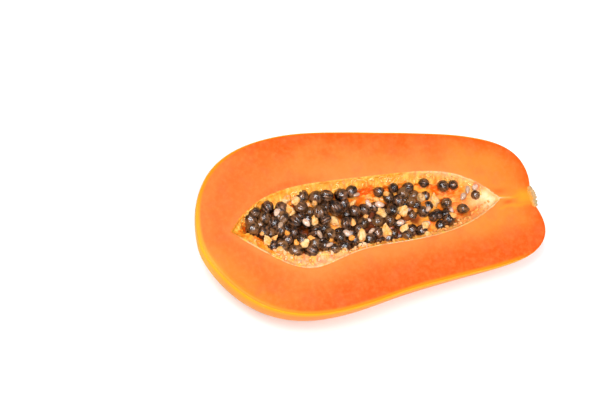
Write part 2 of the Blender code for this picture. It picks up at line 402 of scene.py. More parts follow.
def cutFleshMaterial():
    # Ripe papaya flesh sliced with a knife: moist, a little translucent, paler in the middle of
    # the wall, redder under the rind, with a thin yellow rind line at the skin.
    material, tree = newMaterial("slicedPapayaFlesh")
    cloud = noiseOf(tree, 13, 3)
    grain = noiseOf(tree, 2.6, 3, 0.6)
    blush = noiseOf(tree, 8, 2)
    wobble = scaled(tree, cloud, 0.3, 0.7, -0.18, 0.18)
    across = addNode(tree, "Math", {"operation": "ADD"}, {0: mark(tree, "wallShare"), 1: wobble})
    bands = addNode(tree, "ValToRGB", None, {"Fac": across.outputs[0]})
    inWall = ((0.0, "#f38039"), (0.2, "#f27b33"), (0.45, "#f1732a"))
    underRind = ((0.64, "#f06822"), (0.84, "#ee5810"), (1.0, "#ee540a"))
    wallColour = setRamp(bands, inWall + underRind)
    zones = (("paleShare", "#f0722f"), ("redShare", "#ee5210"), ("amberShare", "#f4882c"))
    zoned = tinted(tree, wallColour, zones)
    pink = blendColour(tree, scaled(tree, blush, 0.48, 0.74, 0, 0.38), zoned, "#ee6436")
    speckled = blendColour(tree, scaled(tree, grain, 0.42, 0.72, 0, 0.34), pink, "#f48440")
    veins = (("seam", "#fbc496"), ("vein", "#f59322"), ("veinGap", "#ee5212"))
    rindLine = tinted(tree, "#f68206", (("blossomShare", "#f89828"),))
    rind = tinted(tree, speckled, (*veins, ("rind", rindLine)))
    fine = bumpOf(tree, grain, 0.2, 0.0003)
    settings = {"Roughness": 0.45, "IOR": 1.38, "Specular IOR Level": 0.22}
    settings |= glowing(0.15, (0.006, 0.002, 0.0008))
    finishMaterial(tree, settings, {"Base Color": rind, "Normal": fine})
    return material


def waxySkinMaterial():
    # Ripe papaya skin: smooth and waxy, yellow to orange, with cloudy ripening patches, pale
    # lenticels of under a millimetre and a few small brown marks.
    material, tree = newMaterial("ripePapayaSkin")
    cloud = noiseOf(tree, 34, 3)
    patches = blendColour(tree, scaled(tree, cloud, 0.35, 0.68), "#f89a22", "#f3892c")
    yellow = tinted(tree, patches, (("rind", "#f9a412"), ("blossomShare", "#fcb31e")))
    freckle = noiseOf(tree, 1.7, 1, 0.4)
    pale = blendColour(tree, scaled(tree, freckle, 0.68, 0.76, 0, 0.35), yellow, "#fcc060")
    brown = noiseOf(tree, 7.5, 4, 0.7)
    aged = blendColour(tree, scaled(tree, brown, 0.70, 0.80, 0, 0.5), pale, "#b5652a")
    waxy = bumpOf(tree, freckle, 0.15, 0.0004)
    settings = {"Roughness": 0.5, "IOR": 1.4, "Specular IOR Level": 0.1}
    settings |= glowing(0.05, (0.004, 0.002, 0.0008))
    finishMaterial(tree, settings, {"Base Color": aged, "Normal": waxy})
    return material


def liningMaterial():
    # Placenta: the fibrous wet layer that the seeds grow on, cream at the rim, yellow below and
    # painted deep orange low on the wall, a painted glow and painted shade at the seeds' foot.
    material, tree = newMaterial("fibrousPlacenta")
    threads = noiseOf(tree, 1.9, 4, 0.65)
    cloud = noiseOf(tree, 6, 3)
    base = blendColour(tree, scaled(tree, cloud, 0.35, 0.65), "#f78d1a", "#faa435")
    # painted shade: a deeper orange lower down the wall, where shade falls
    deep = tinted(tree, base, (("paintedDeepShadeShare", "#f9780e"),))
    pinkish = blendColour(tree, scaled(tree, cloud, 0.55, 0.75, 0, 0.4), deep, "#ff9c5e")
    layers = (
        # painted glow and shade: deep orange-red low on the wall at the seeds' foot, and a gel
        # patch
        ("paintedGlowAndGelShare", "#f05a0a"),
        ("creamShare", "#ffd2a0"),
        ("pinkShare", "#f68a62"),
        # painted shade: darker orange in the creases between the raised threads
        ("paintedCreaseShadeShare", "#ee6a10"),
        # painted light: paler orange on the near wall, which faces away from the lamps and lies in
        # shade
        ("paintedNearLightShare", "#ffa25a"),
        ("threadShare", "#ffb850"),
    )
    threaded = tinted(tree, pinkish, layers)
    strength = scaled(tree, threads, 0.58, 0.74, 0, 0.35)
    streaked = blendColour(tree, strength, threaded, "#ffe2a8")
    fine = bumpOf(tree, threads, 0.6, 0.0008)
    settings = {"Roughness": 0.42, "IOR": 1.38, "Specular IOR Level": 0.35}
    settings |= glowing(0.4, (0.004, 0.0018, 0.0008))
    finishMaterial(tree, settings, {"Base Color": streaked, "Normal": fine})
    return material


def seedMaterial():
    # Papaya seed in its gel coat: olive-brown where the wet coat stands on the ridges, nearly black
    # in the folds, partly the seed's own dark colour and partly painted shade, with small sharp
    # glints.
    material, tree = newMaterial("gelCoatedSeed")
    cloud = noiseOf(tree, 2.6, 2)
    wrinkle = noiseOf(tree, 0.9, 3, 0.6)
    # painted shade: on the near-black base only the raised ridges and bumps are lightened, so the
    # folds stay dark
    warm = tinted(tree, "#080000", (("ridge", "#96623f"), ("tone", "#8a5c32")))
    mottled = blendColour(tree, scaled(tree, cloud, 0.43, 0.62, 0, 0.88), warm, "#0b0100")
    wrinkled = bumpOf(tree, wrinkle, 0.5, 0.0005)
    settings = {"Roughness": 0.26, "IOR": 1.45, "Specular IOR Level": 0.15}
    settings |= {"Coat Weight": 1.0, "Coat Roughness": 0.07, "Coat IOR": 1.56}
    links = {"Base Color": mottled, "Normal": wrinkled, "Coat Normal": wrinkled}
    finishMaterial(tree, settings, links)
    return material


def softMaterial(name, colours, roughness, size, wetness):
    # unripe seeds, pulp and fibres: wet, pale and translucent
    material, tree = newMaterial(name)
    cloud = noiseOf(tree, size, 2)
    clouded = blendColour(tree, scaled(tree, cloud, 0.35, 0.65), *colours)
    tints = (("tone", "#fb9838"), ("cream", "#f8cba8"), ("tan", "#9a7654"))
    settings = {"Roughness": roughness, "IOR": 1.38}
    settings |= {"Coat Weight": wetness, "Coat Roughness": 0.15}
    settings |= glowing(0.3, (0.003, 0.0018, 0.001))
    finishMaterial(tree, settings, {"Base Color": tinted(tree, clouded, tints)})
    return material


def coreMaterial():
    # the pulp that buried seeds lie in: nearly black between them, as dark buried seeds and painted
    # shade, orange towards the stem
    material, tree = newMaterial("wetPulpWithPaintedShade")
    cloud = noiseOf(tree, 4, 3)
    # painted shade: near-black in the gaps between the seeds, partly the dark buried seeds
    dark = blendColour(tree, scaled(tree, cloud, 0.35, 0.6), "#160a05", "#7a330c")
    pulpy = blendColour(tree, scaled(tree, cloud, 0.4, 0.6), "#ec6c10", "#f6a43c")
    orange = tinted(tree, dark, (("orangeShare", pulpy),))
    wet = bumpOf(tree, cloud, 0.5, 0.001)
    settings = {"Roughness": 0.25, "IOR": 1.38}
    settings |= {"Subsurface Weight": 0.1, "Subsurface Radius": (0.004, 0.0015, 0.0006)}
    finishMaterial(tree, settings, {"Base Color": orange, "Normal": wet})
    return material


def scarMaterial():
    # Dried stalk base: tan cork with darker cracks and a grey-green bloom.
    material, tree = newMaterial("corkyStemScar")
    crumbs = noiseOf(tree, 1.6, 4, 0.7)
    cloud = noiseOf(tree, 5, 2)
    tan = blendColour(tree, scaled(tree, crumbs, 0.35, 0.7), "#a87c48", "#e2b880")
    green = blendColour(tree, scaled(tree, cloud, 0.44, 0.68, 0, 0.8), tan, "#a39c72")
    stub = tinted(tree, "#f39426", (("cork", green),))
    rough = bumpOf(tree, crumbs, 0.8, 0.0008)
    finishMaterial(tree, {"Roughness": 0.75}, {"Base Color": stub, "Normal": rough})
    return material


flesh = {
    "around": 600,
    "skinRings": 56,
    "wallRings": 22,
    "cutRings": 44,
    "rindWidth": (0.9, 1.9),  # of the yellow line at the skin: far side, near side
    "skinRounding": 1.1,
    "cavityRounding": 0.4,
    "knifeWave": 0.28,
    "knifeGrain": 0.05,
    "skinWave": 0.2,
}


def shares(count, power=1.0):
    # from 0 to 1 in even steps, or closer together at the start
    return np.linspace(0, 1, count) ** power


def makeFlesh():
    around = flesh["around"]
    tips = shares(flesh["skinRings"] + 1)[::-1][1:] ** 1.6
    skin = castRays(fan(around, tips, fruit["stretch"]), skinGap)
    depths = shares(flesh["wallRings"] + 1)[:-1]
    wall = castRays(fan(around, depths, cavity["stretch"]), cavityGap)
    # the cut face, closer rings at both of its edges
    outer = castRays(fan(around, (0,), fruit["stretch"]), skinGap)[0]
    inner = castRays(fan(around, (0,), cavity["stretch"]), cavityGap)[0]
    inner = alignLoop(inner, outer)
    wall = np.concatenate((inner[None], alignRings(wall, inner)[1:]))
    share = np.linspace(0, 1, flesh["cutRings"] + 2)[1:-1]
    share = (1 - np.cos(math.pi * share)) / 2 * 0.75 + share * 0.25
    cut = mix(outer[None], inner[None], share[:, None, None])
    skin = skin + (softNoise(skin, 22, 3) * flesh["skinWave"])[..., None] * outwardOf(skin)
    rings = np.concatenate((skin, cut, wall))
    toSkin = edgeDistance(rings, outer)
    toCavity = edgeDistance(rings, inner)
    onCut = np.zeros(rings.shape[:2])
    onCut[flesh["skinRings"] - 1 : flesh["skinRings"] + flesh["cutRings"] + 1] = 1
    wave = softNoise(rings, 26, 5) * flesh["knifeWave"]
    grain = softNoise(rings, 2.2, 6) * flesh["knifeGrain"]
    atSkin = bell(toSkin, flesh["skinRounding"]) * flesh["skinRounding"]
    atCavity = bell(toCavity, flesh["cavityRounding"]) * flesh["cavityRounding"]
    calm = smooth(0, 6, toSkin) * smooth(0, 4, toCavity)
    rings[..., 2] += onCut * ((wave + grain) * calm - 0.45 * atSkin - 0.5 * atCavity)
    fromMiddle = np.linalg.norm(rings[..., :2] + 1e-6, axis=-1)
    rings[..., :2] *= 1 - 0.45 * (atSkin / fromMiddle)[..., None]
    u, v = rings[..., 0], rings[..., 1]
    marks = {
        "wallShare": toCavity / np.maximum(toCavity + toSkin, 0.01),
        "redShare": redShare(u, v, toSkin, toCavity),
        "amberShare": amberShare(u, v, toSkin),
        "paleShare": smooth(-55, -80, u) * smooth(-25, -5, v) * 0.8,
        "seam": seamShare(u, v),
        "rind": rindShare(u, v, toSkin, onCut),
        "blossomShare": blossomShare(u, v),
        "vein": veinShare(rings),
        "veinGap": veinGapShare(rings),
    }
    piece = ringMesh("papayaFlesh", flattened(rings), marks, flesh["skinRings"] - 1)
    piece.data.materials.append(waxySkinMaterial())
    piece.data.materials.append(cutFleshMaterial())
    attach(piece, "root")
    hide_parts("flesh")
    print("flesh and skin:", len(piece.data.polygons), "faces")


def alignLoop(loop, guide):
    # the loop's point that lies in the direction of each guide point, seen from the heart
    angle = np.unwrap(np.arctan2(loop[:, 1] / 0.5 - heart[1], loop[:, 0] - heart[0]))
    wanted = np.unwrap(np.arctan2(guide[:, 1] / 0.5 - heart[1], guide[:, 0] - heart[0]))
    spread = np.concatenate((angle - 2 * math.pi, angle, angle + 2 * math.pi))
    return np.stack([np.interp(wanted, spread, np.tile(loop[:, axis], 3)) for axis in range(3)], -1)


def alignRings(rings, inner):
    # slides each ring round so that its columns start under the inner edge's points
    return np.stack([alignLoop(ring, inner) for ring in rings])


def outwardOf(points):
    away = points * (0.25, 1, 1)
    return away / np.maximum(np.linalg.norm(away, axis=-1, keepdims=True), 1e-6)


def flattened(rings):
    # the belly settles flat on the floor
    world = toWorld(rings)
    sunk = np.clip(cadLow[2] - world[:, 2], 0, None) / mm
    lifted = np.array(layingDown).T @ np.array((0, 0, 1.0))
    return rings + (sunk[:, None] * lifted).reshape(rings.shape)


def redShare(u, v, toSkin, toCavity):
    # redder under the near side's skin, at the stem end's near corner and beside the cavity
    nearSide = 0.85 * smooth(-2, -34, v) * smooth(-75, -20, u) * smooth(30, 10, toSkin)
    corner = 0.8 * smooth(70, 95, u) * smooth(-4, -14, v) * smooth(16, 8, toSkin)
    beside = 0.75 * bell(u + 48, 22) * smooth(8, 15, v) * smooth(8, 1, toCavity)
    tip = 0.5 * bell(u - 76, 8) * smooth(1, 4, v) * smooth(6, 1, toCavity)
    blossom = 0.4 * smooth(-30, -55, u) * smooth(5, 11, toSkin) * smooth(1, 5, toCavity)
    return np.clip(np.max((nearSide, corner, beside, tip, blossom), 0), 0, 0.9)


def amberShare(u, v, toSkin):
    # yellower under the blossom end's near skin and over the stem end
    blossom = 0.5 * smooth(-45, -75, u) * smooth(4, -10, v) * smooth(18, 4, toSkin)
    stem = 0.5 * smooth(45, 65, u) * smooth(-25, -15, v) * smooth(-2, 14, toSkin)
    return np.maximum(blossom, stem)


def blossomShare(u, v):
    # the skin is yellower round the blossom end, and most of all in the middle of it
    middle = mix(0.15, 1, smooth(-26, -6, v)) * mix(1, 0.3, smooth(12, 36, v))
    return smooth(-62, -92, u) * middle


def seamShare(u, v):
    # a thin pale line runs on from the cavity's tip
    return 0.9 * streak(u, v, ((76, -1.2), (80, -1.6), (85, -2.4)), (0.45, 0.3)) * smooth(87, 83, u)


def rindShare(u, v, toSkin, onCut):
    # yellow at the skin, wider towards the viewer's side and gone round the stem end
    width = mix(*flesh["rindWidth"], smooth(20, -25, v)) + 1.0 * smooth(-50, -88, u)
    width = np.where(onCut > 0, width, 3.5)
    return smooth(width * 1.5, width * 0.35, toSkin) * smooth(94, 76, u + 0.1 * np.abs(v))


def streak(u, v, path, width):
    # a soft streak through listed points (u, v), widening from one width to the other
    us, vs = np.array(path).T
    along = smooth(us[0] - 1.5, us[0] + 1.5, u)
    return along * bell(v - np.interp(u, us, vs), np.interp(u, (us[0], us[-1]), width))


def veinShare(points):
    # two pale bundles run from the cavity's tip to the stem scar and merge in a yellow patch
    bent = points + 1.1 * np.stack([softNoise(points, 5, seed) for seed in (31, 32, 33)], -1)
    u, v = bent[..., 0], bent[..., 1]
    upper = 0.8 * streak(u, v, ((78, -1.4), (85, -2.2), (90, -1.5), (98, -2.5)), (0.5, 2.2))
    lower = 0.6 * streak(u, v, ((76, -8.4), (80, -7), (86, -8), (98, -7)), (0.7, 1.8))
    patch = bell(v + 3.2, 4.6) * smooth(86, 92, u)
    return np.clip(np.max((upper, lower, patch), 0), 0, 0.95)


def veinGapShare(points):
    u, v = points[..., 0], points[..., 1]
    between = 0.7 * bell(u - 82.5, 3.2) * bell(v + 4.8, 1.2)
    above = 0.55 * bell(u - 79, 5) * bell(v - 2.6, 1.8)
    return np.maximum(between, above)


scar = {
    "v": -4.0,
    "radius": 5.9,
    "halfThickness": 2.3,
    "ridges": 17,
    "ridgeHeight": 0.9,
    "around": 160,
    "rings": 60,
}


def makeScar():
    share = np.linspace(0, 1, scar["rings"])[1:-1]
    turn = np.arange(scar["around"]) * 2 * math.pi / scar["around"]
    # out over the stalk's face, then back over the cut half-disc
    u0 = fruit["length"] / 2 - fruit["dimpleDepth"]
    rings = []
    for step in share:
        along, outward = -math.cos(step * math.pi), math.sin(step * math.pi)
        ridge = scar["ridgeHeight"] * np.abs(np.sin(scar["ridges"] / 2 * turn)) * outward
        radius = (scar["radius"] + ridge) * outward
        u = u0 + scar["halfThickness"] * along + 0 * turn
        rings.append(np.stack((u, scar["v"] + radius * np.cos(turn), radius * np.sin(turn)), -1))
    rings = np.array(rings)
    rough = softNoise(rings, 1.6, 21) + 0.9 * softNoise(rings, 0.8, 22)
    cork = smooth(u0 - 1.2, u0 + 1.4, rings[..., 0] + 1.6 * rough)
    rings[..., 0] += rough * cork
    rings[..., 2] = np.minimum(rings[..., 2] + rough * 0.5, rough * mix(0.06, 0.4, cork))
    piece = ringMesh("stalkStub", rings, {"cork": cork})
    piece.data.materials.append(scarMaterial())
    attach(piece, "root")
    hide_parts("stem_scar")
    print("stem scar:", len(piece.data.polygons), "faces")


lining = {
    "around": 600,
    "wallRings": 44,
    "rimRings": 8,
    "outerRings": 6,
    "thickness": 0.5,
    "farSlope": 4.4,
    "nearSlope": 2.2,
    "endSlope": 3.0,
    "sunk": 0.1,  # of the rim under the cut
    "lumps": 1.3,
    "threads": 0.8,
    "overlap": 0.12,  # into the flesh, so that no gap shows
}


def liningThickness(points):
    # thin at the rim and thicker below, most of all on the far wall and in two pulpy places
    u, v, w = points[..., 0], points[..., 1], points[..., 2]
    below = smooth(0.6, -5.5, w)
    far = mix(1.2, lining["farSlope"], smooth(-66, -48, u)) + 3.4 * bell(u + 47, 9)
    near = lining["nearSlope"] + 3.4 * smooth(-40, -58, u) + 6.5 * bell(u + 37, 15)
    end = lining["endSlope"] * smooth(44, 66, u)
    return lining["thickness"] + np.maximum(mix(near, far, smooth(-6, 8, v)), end) * below


def widenedCavityGap(points):
    return cavityGap(points, -lining["overlap"])


def makeLining():
    around = lining["around"]
    outerFan = fan(around, 1 - shares(lining["outerRings"] + 1)[1:], cavity["stretch"])
    outer = castRays(outerFan, widenedCavityGap)
    innerFan = fan(around, shares(lining["wallRings"] + 1, 1.25)[:-1], cavity["stretch"])
    inner = castRays(innerFan, cavityGap)
    middle = cavityMiddle(inner)
    inward = middle - inner
    inward /= np.maximum(np.linalg.norm(inward, axis=-1, keepdims=True), 1e-6)
    thick = liningThickness(inner)
    bare = mix(0.35, 1, smooth(66, 46, inner[..., 0]))  # the stem end is smoother
    below = smooth(0.8, -2.5, inner[..., 2])
    thread = softNoise(inner * (1, 0.6, 0.6), 1.7, 9) + 0.5 * softNoise(inner, 0.8, 11)
    thick = thick + lining["lumps"] * softNoise(inner, 3.6, 8) * bare * below
    thick = thick + lining["threads"] * thread * bare * below
    inner = inner + inward * np.clip(thick, 0.35, None)[..., None]
    onRim = np.tile(thread[:1], (lining["rimRings"], 1))
    thread = np.concatenate((0 * outer[..., 0], onRim, thread))
    share = np.linspace(0, 1, lining["rimRings"] + 2)[1:-1]
    rim = mix(outer[-1][None], inner[0][None], share[:, None, None])
    rings = np.concatenate((outer, rim, inner))
    sunk = np.zeros(rings.shape[:2])
    first, last = lining["outerRings"] - 1, lining["outerRings"] + lining["rimRings"] + 1
    across = np.linspace(0, 1, last - first)[:, None]
    sunk[first:last] = lining["sunk"] + 0.2 * across + 0.18 * softNoise(rings[first:last], 1.8, 10)
    sunk[first] = lining["sunk"]
    sunk[last:] = sunk[last - 1] * bell(np.arange(1, len(rings) - last + 1), 7)[:, None]
    rings[..., 2] -= np.clip(sunk, 0, None)
    u, v, w = rings[..., 0], rings[..., 1], rings[..., 2]
    patchy = softNoise(rings, 5.5, 14)
    ridge = bell(u + 36, 17) * smooth(-8, -14, v) * smooth(-8, -1.5, w)
    edge = mix(0.6, 0.85, smooth(-5, 15, u)) * smooth(-2.0, -0.2, w) * smooth(6, -6, v)
    hollow = smooth(58, 70, u) * (0.62 + 0.8 * patchy)
    band = 0.5 * smooth(-3.5, -0.1, w) * smooth(8, 13, v) * smooth(20, 40, u)
    cream = np.max((ridge * (0.75 + 0.6 * patchy), edge, hollow, band), 0)
    gel = 0.8 * smooth(0.05, 0.35, -patchy) * smooth(42, 54, u) * smooth(76, 70, u)
    flush = smooth(0, 0.35, softNoise(rings, 4, 17)) * bell(u + 34, 17) * smooth(-12, -18, v)
    marks = {
        "pinkShare": 0.9 * flush,
        # painted shade: deeper orange lower down the wall, where shade falls
        "paintedDeepShadeShare": smooth(-1.5, -7, w + 2 * patchy) * smooth(72, 52, u),
        # painted glow and shade: deep orange-red low on the wall at the seeds' foot, and a reddish
        # gel patch by the stem end
        "paintedGlowAndGelShare": np.maximum(smooth(-3.5, -8, w + 3 * patchy) * smooth(56, 40, u), gel),
        "creamShare": np.clip(cream, 0, 1),
        "threadShare": smooth(0.1, 0.6, thread) * mix(1, 0.35, smooth(50, 66, u)),
        # painted shade: darker orange in the creases between the raised threads
        "paintedCreaseShadeShare": 0.6 * smooth(-0.1, -0.6, thread) * smooth(64, 50, u),
        # painted light: paler orange on the near wall, which faces away from the lamps and lies in
        # shade
        "paintedNearLightShare": 0.7 * smooth(-4, -9, v) * smooth(20, 36, u),
    }
    piece = ringMesh("placentaLining", rings, marks)
    piece.data.set_sharp_from_angle(angle=math.radians(65))
    piece.data.materials.append(liningMaterial())
    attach(piece, "root")
    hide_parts("lining")
    print("lining:", len(piece.data.polygons), "faces")
    return inner


def cavityMiddle(points):
    reach, wall, middle = cavityReach(points, 0)
    return np.stack((points[..., 0] * 0.93 + heart[0] * 0.07, middle, 0 * middle - 2), -1)


core = {
    "around": 200,
    "rings": 30,
    "below": 9.4,
    "bump": 1.6,
    "inset": 1.2,
    "stemLimit": 60,
    "stemRise": 3.4,
    "stemFall": 0.42,
    "stretch": (62, 22, 13),
}


def coreTop(u):
    # the pulp rises towards the stem, where the seeds lie one deep, then runs out
    rise = core["stemRise"] * smooth(8, 26, u)
    return rise - core["below"] - core["stemFall"] * np.clip(u - 38, 0, None)


def coreGap(points):
    pastStem = (points[..., 0] - core["stemLimit"]) / 40
    return np.maximum(cavityGap(points, core["inset"]), pastStem)


def makeCore():
    # the mass of buried seeds and pulp under the ones that show
    around = core["around"]
    start = np.array((-12.0, 0.0, -core["below"]))
    depths = 1 - shares(core["rings"] + 1)[1:]
    wall = castRays(fan(around, depths, core["stretch"]), coreGap, start)
    share = np.linspace(1, 0, core["rings"] + 2)[1:-1]
    top = mix(start[None, None], wall[-1][None], share[:, None, None])
    rings = np.concatenate((wall, top))
    u, v = rings[..., 0], rings[..., 1]
    onTop = smooth(-core["below"] - 1.5, -core["below"] - 0.2, rings[..., 2])
    rough = core["bump"] * softNoise(rings, 6.0, 12) + 0.5 * softNoise(rings, 2.5, 13)
    rings[..., 2] += onTop * (rough + coreTop(u) + core["below"])
    patchy = softNoise(rings, 9, 16)
    orange = smooth(18, 42, u + 14 * patchy) + smooth(4, 12, v + 9 * patchy) * smooth(-50, -30, u)
    orange = orange + 0.9 * smooth(0.05, 0.35, patchy)
    piece = ringMesh("buriedSeeds", rings, {"orangeShare": np.clip(orange, 0, 1)})
    piece.data.materials.append(coreMaterial())
    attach(piece, "root")
    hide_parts("seed_heap")
    print("core under the seeds:", len(piece.data.polygons), "faces")


seeds = {
    "buried": 20,
    "blossomSize": 7.9,
    "stemSize": 6.6,
    "spread": 0.1,
    "around": 50,
    "along": 15,
    "ridges": 10,
    "ridgeHeight": 0.105,  # of the seed's radius, like the wrinkles
    "wrinkles": 0.06,
    "from": -68,
    "to": 24,  # of the buried ones: past this the heap is one seed deep, on pulp
    "sides": (-18, 9),
    "topStart": (-6.5, -4.0),
    "topLowest": -7.5,
    "closeness": 0.97,
    "top": -0.8,
    "settling": 200,
}


def settledSeeds():
    # the top seeds stay where they lie, the buried ones are pushed between and under them
    shake = np.random.default_rng(11)
    top = np.array(topSeeds, float)
    count = len(top) + seeds["buried"]
    onTop = np.arange(count) < len(top)
    u = np.append(top[:, 0], shake.uniform(seeds["from"], seeds["to"], seeds["buried"]))
    v = np.append(top[:, 1], shake.uniform(*seeds["sides"], seeds["buried"]))
    w = np.where(onTop, shake.uniform(*seeds["topStart"], count), -core["below"])
    size = mix(seeds["blossomSize"], seeds["stemSize"], smooth(-70, 45, u))
    radius = size / 2 * (1 + seeds["spread"] * shake.standard_normal(count).clip(-1.8, 1.8))
    place = np.stack((u, v, w), -1)
    low = np.where(onTop, seeds["topLowest"], -core["below"] + radius * 0.2)
    high = np.where(onTop, seeds["top"], seeds["top"] - 2.2) - radius
    for turn in range(seeds["settling"]):
        place[:, 2] -= 0.05
        apart = place[:, None] - place[None]
        distance = np.linalg.norm(apart, axis=-1) + np.eye(count) * 99
        touching = seeds["closeness"] * (radius[:, None] + radius[None])
        overlap = np.clip(touching - distance, 0, None)
        push = (apart / distance[..., None] * overlap[..., None]).sum(1) * 0.42
        push[:, :2] += awayFromLumps(place, radius)
        place += np.clip(push, -1.2, 1.2)
        keepInCavity(place, radius)
        place[:, 2] = np.clip(place[:, 2], low, high)
        place[:, 0] = np.clip(place[:, 0], seeds["from"] + 1, seeds["to"])
        place[onTop, :2] = top
    return place, radius


def awayFromLumps(place, radius):
    push = np.zeros((len(place), 2))
    for u, v, size in pulpLumps + looseSeeds:
        apart = place[:, :2] - (u, v)
        distance = np.maximum(np.linalg.norm(apart, axis=1), 0.1)
        overlap = np.clip(size * 0.42 + radius - distance, 0, None)
        push += apart / distance[:, None] * (overlap * 0.3)[:, None]
    return push


def keepInCavity(place, radius):
    u, v = place[:, 0], place[:, 1]
    far = mix(0.8, 3.4, smooth(-66, -48, u)) + 2.6 * bell(u + 47, 8)
    near = 1.3 + 2.4 * smooth(-48, -62, u) + 6 * bell(u + 37, 13)
    inset = mix(near, far, smooth(-6, 8, v))
    reach, wall, middle = cavityReach(place, inset + 0.85 * radius)
    wall = np.clip(wall, 0.02, None)
    over = reach > wall
    shrink = np.where(over, wall / np.maximum(reach, 1e-6), 1)
    place[:, 1] = middle + (place[:, 1] - middle) * shrink
    place[:, 2] = np.where(over, place[:, 2] * np.sqrt(shrink), place[:, 2])


def turnedBy(shake):
    spin = Quaternion([shake.gauss(0, 1) for part in range(4)])
    return np.array(spin.normalized().to_matrix())


def seedShape(ball, faces, radius, shake):
    # a round seed with soft wavy lengthwise ridges, a wrinkled coat and sometimes a small point
    x, y, z = ball.T
    turn = np.arctan2(y, x)
    phase, wave = shake.uniform(0, 6.28), shake.uniform(0.5, 1.3)
    count = seeds["ridges"] + shake.choice((-1, 0, 0, 1))
    lines = np.cos(count * turn + phase + wave * np.sin(2.3 * z + phase))
    lines = (0.5 + 0.5 * lines) ** 1.1
    deep = shake.uniform(0.2, 1)
    fade = np.clip(1 - z**2, 0, 1)
    wrinkles = softNoise(ball + phase, 0.42)
    dents = 0.05 * softNoise(ball + 2 * phase, 1.3)
    swell = 1 + seeds["wrinkles"] * wrinkles + dents + seeds["ridgeHeight"] * deep * lines * fade
    tip = 0.14 * np.exp(-(((1 - z) / 0.04) ** 2)) if shake.random() < 0.3 else 0
    shape = ball * (swell + tip)[:, None]
    stretch = (shake.uniform(0.9, 1.02), shake.uniform(0.86, 0.96), shake.uniform(1, 1.14))
    points = (shape * np.array(stretch) * radius) @ turnedBy(shake).T
    # the ridge mark is lowest in the folds of the shape, where the dark colour is partly painted
    # shade
    ridge = np.clip(fade * mix(0.45, lines, 0.15 + 0.55 * deep) + 0.6 * wrinkles, 0, 1)
    return points, faces, {"ridge": ridge, "tone": shake.uniform(0, 0.85) ** 2}


def makeSeeds():
    shake = random.Random(4)
    ball, faces = ballGrid(seeds["around"], seeds["along"])
    place, radius = settledSeeds()
    shapes = []
    for centre, size in zip(place, radius):
        points, shapeFaces, marks = seedShape(ball, faces, size, shake)
        shapes.append((points + centre, shapeFaces, marks))
    for u, v, size in looseSeeds:
        w = min(restingHeight(u, v, size / 2, place, radius), seeds["top"] - size / 2)
        points, shapeFaces, marks = seedShape(ball, faces, size / 2, shake)
        shapes.append((points + np.array((u, v, w)), shapeFaces, marks))
    piece = joinedMesh("ripeSeeds", shapes, ("ridge", "tone"))
    piece.data.materials.append(seedMaterial())
    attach(piece, "root")
    print("ripe seeds:", len(shapes), "seeds,", len(piece.data.polygons), "faces")
    return place, radius


# the seeds on top of the heap, from the far side to the near one: u, v
topSeeds = (
    (-65, 15), (-57, 17), (-36, 20), (-28, 18), (-22, 18), (-13, 17), (-7, 18), (10, 16),
    (18, 16), (27, 15), (37, 16), (-68, 11), (-60, 11), (-49, 15), (-38, 14), (-33, 11),
    (-24, 12), (-12, 12), (15, 12), (23, 12), (30, 11), (37, 9), (-50, 9), (-43, 6), (-28, 9),
    (-18, 10), (-12, 6), (-1, 7), (19, 8), (25, 9), (-68, 6), (-62, 3), (-55, 7), (-53, 2),
    (-36, 5), (-26, 4), (-8, 6), (37, 3), (-45, 0), (-33, -2), (-14, 0), (-4, -1), (5, -1),
    (14, 3), (12, -2), (26, -1), (32, -1), (41, -3), (46, -4), (26, 6), (30, 4), (-50, -4),
    (-59, -6), (-54, -7), (-42, -6), (-25, -5), (-20, -8), (-8, -5), (37, -5), (-47, -11),
    (-35, -9), (-30, -11), (-38, -13), (-25, -14), (-18, -13), (-12, -11), (-3, -11), (2, -9),
    (12, -10), (19, -13), (23, -10), (28, -12), (41, -10), (46, -8),
)

# seeds that lie by themselves towards the bare stem end of the cavity: u, v, size
looseSeeds = ((48, 12.5, 7.0), (54, 12, 5.8), (48, 2.5, 6.5), (56, -3, 6.8), (65.5, 3.6, 5.2))

# soft lumps that carried seeds: u, v, size; the small ones are orange
pulpLumps = (
    (33, 8, 7.0), (41, 6, 7.4), (7, -9, 7.2), (9, 3.5, 6.4), (-8, -9, 6.8), (-20, 3, 6.2),
    (-33, 4, 5.2), (21, 3, 5.6), (-41, -8, 5.4), (-62, -3, 5.0), (18, -9, 5.4), (30, -10, 5.0),
    (-7, 12, 4.6), (4, 14, 4.4), (-46, 13, 4.6), (-56, -10, 5.4), (13, 13, 4.2), (-30, 14, 4.2),
    (45, 7, 4.4), (48, -7, 4.6), (22, -6, 4.2), (-46, 19, 7.0), (-41, 17, 6.0), (-44, 12, 5.2),
    (21, 1, 5.4), (-64, 1, 3.4), (-57, -2, 3.4), (-50, -1, 3.8), (-46, -7, 3.4), (-37, -6, 3.6),
    (-26, -9, 3.4), (-21, -1, 3.8), (-14, -10, 3.4), (-11, -1, 3.4), (-2, 2, 3.6), (6, -5, 3.4),
    (8, 12, 3.6), (17, -1, 3.4), (28, 1, 3.6),
)

# small unripe seeds lying on the heap: u, v, length
unripeSeeds = (
    (-53, 12, 5.6), (-53, 4, 4.6), (-38, 3, 5.4), (-32, -5, 5.0), (-28, -12, 4.6), (2, 10, 4.8),
    (8, 8, 5.6), (0, 1, 4.0), (17, -5, 4.8), (32, -8, 5.0), (-2, -8, 4.4), (-5, 15, 4.2),
    (-15, -6, 5.8), (34, -1, 4.6), (51, -1, 5.0), (61, 7, 5.2), (58, 4, 5.0), (66, 8, 5.4),
)


